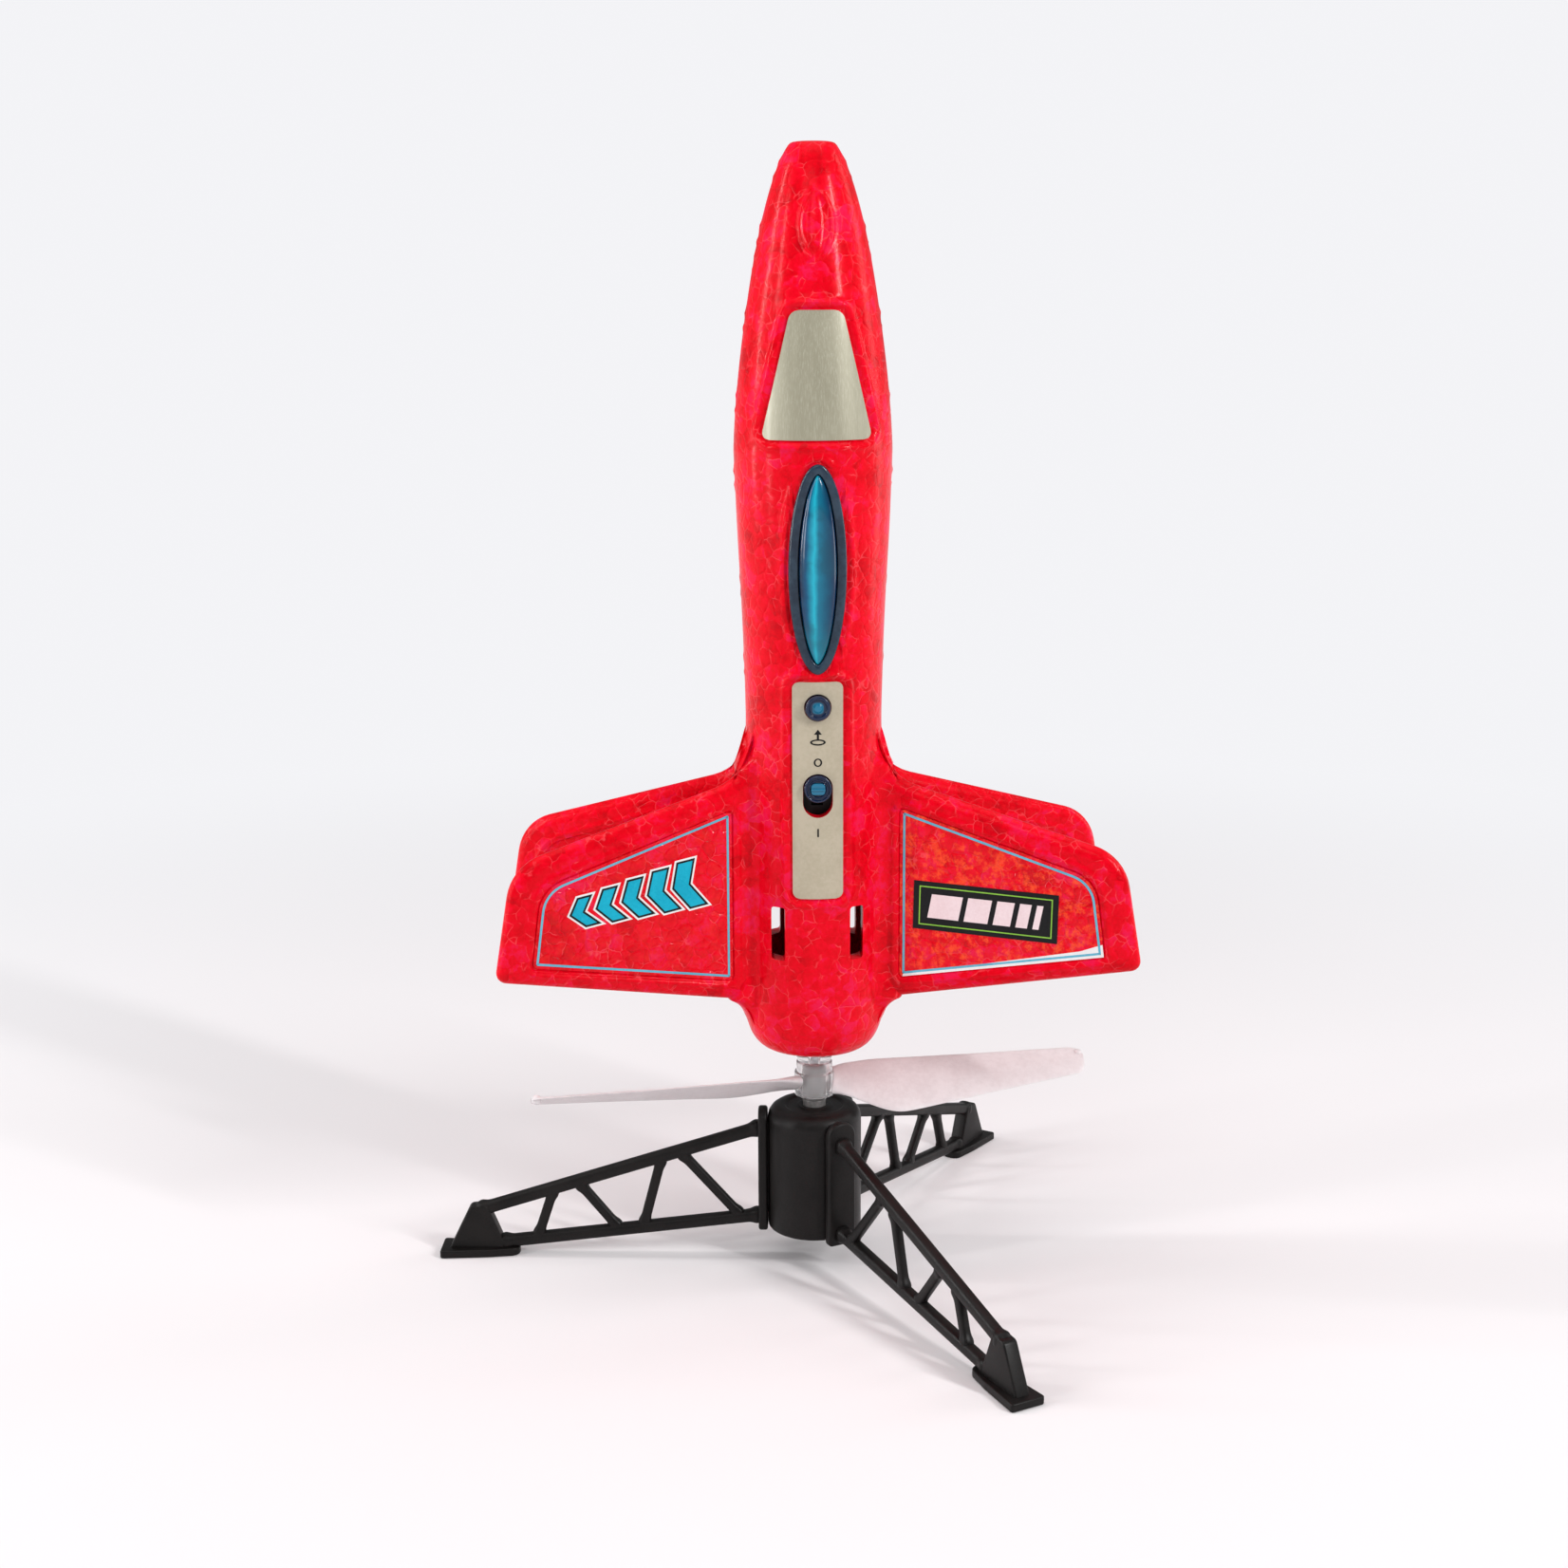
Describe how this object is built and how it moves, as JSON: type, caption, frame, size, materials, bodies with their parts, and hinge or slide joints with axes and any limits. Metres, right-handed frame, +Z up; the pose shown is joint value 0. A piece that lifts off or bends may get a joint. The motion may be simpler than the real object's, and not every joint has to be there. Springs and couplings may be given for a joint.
{
  "type": "model rocket",
  "caption": "Foam free-flight toy rocket with swept fins and a motor-driven propeller under its tail, standing on a black tripod launch stand with lattice legs.",
  "frame": {"origin": "floor level, under the middle of the object's box; the rocket's axis stands 9 mm to +X and 3.05 mm to +Y of it", "axes": "+Z up along the rocket's axis, -Y the rocket's front with the windshield and controls, +X its left-to-right direction seen from the front"},
  "size_m": [0.172, 0.168, 0.273],
  "materials": {
    "foam": "satin moulded bead foam",
    "black_plastic": "satin",
    "silver_film": "brushed metallic print",
    "panel_film": "printed film",
    "clear_film": "clear film with printed line",
    "tinted_lens": "clear tinted",
    "circuit_board": "solder mask",
    "led_resin": "clear",
    "switch_metal": "plain",
    "battery_wrap": "foil",
    "foam_pad": "matte",
    "steel": "ground",
    "bronze": "plain",
    "frosted_plastic": "frosted clear",
    "white_plastic": "plain",
    "button_plastic": "gloss"
  },
  "bodies": {
    "stand": {"stand_hub": "black_plastic", "launch_pin": "black_plastic"},
    "front_leg": {"leg_front": "black_plastic"},
    "rear_leg": {"leg_rear": "black_plastic"},
    "side_leg": {"leg_side": "black_plastic"},
    "rocket": {"front_shell": "foam", "rear_shell": "foam", "windshield_film": "silver_film", "control_film": "panel_film", "fin_film_left": "clear_film", "fin_film_right": "clear_film", "canopy_lens": "tinted_lens", "led_board": "circuit_board", "led_upper": "led_resin", "led_lower": "led_resin", "main_board": "circuit_board", "tact_switch": "switch_metal", "switch_body": "switch_metal", "battery": "battery_wrap", "battery_pad": "foam_pad", "motor_mount": "black_plastic", "motor": "steel", "lower_bush": "bronze", "upper_bush": "bronze", "charging_socket": "black_plastic"},
    "rotor": {"propeller": "frosted_plastic", "prop_shaft": "steel", "main_gear": "white_plastic", "shaft_collar": "black_plastic"},
    "motor_rotor": {"motor_shaft": "steel", "pinion": "bronze"},
    "launch_button": {"button_cap": "button_plastic"},
    "power_slide": {"slide_knob": "black_plastic"}
  },
  "joints": [
    {"name": "liftoff", "type": "slide", "parent": "stand", "child": "rocket", "axis": [0, 0, 1], "range_m": [0, 0.06]},
    {"name": "rotor_spin", "type": "hinge", "parent": "rocket", "child": "rotor", "pos_m": [0.009, 0.00305, 0.0456], "axis": [0, 0, 1], "continuous": true},
    {"name": "motor_spin", "type": "hinge", "parent": "rocket", "child": "motor_rotor", "pos_m": [0.009, 0.0118, 0.0666], "axis": [0, 0, 1], "continuous": true},
    {"name": "button_press", "type": "slide", "parent": "rocket", "child": "launch_button", "axis": [0, 1, 0], "range_m": [0, 0.0008], "stiffness_N_per_m": 300},
    {"name": "power_switch", "type": "slide", "parent": "rocket", "child": "power_slide", "axis": [0, 0, -1], "range_m": [0, 0.0035]},
    {"name": "front_leg_pull", "type": "slide", "parent": "stand", "child": "front_leg", "axis": [0.4384, -0.8988, 0], "range_m": [0, 0.012]},
    {"name": "rear_leg_pull", "type": "slide", "parent": "stand", "child": "rear_leg", "axis": [0.5592, 0.829, 0], "range_m": [0, 0.012]},
    {"name": "side_leg_pull", "type": "slide", "parent": "stand", "child": "side_leg", "axis": [-0.9976, 0.0698, 0], "range_m": [0, 0.012]}
  ],
  "couplings": [
    {"joint": "motor_spin", "follows": "rotor_spin", "ratio": -2.8889}
  ]
}
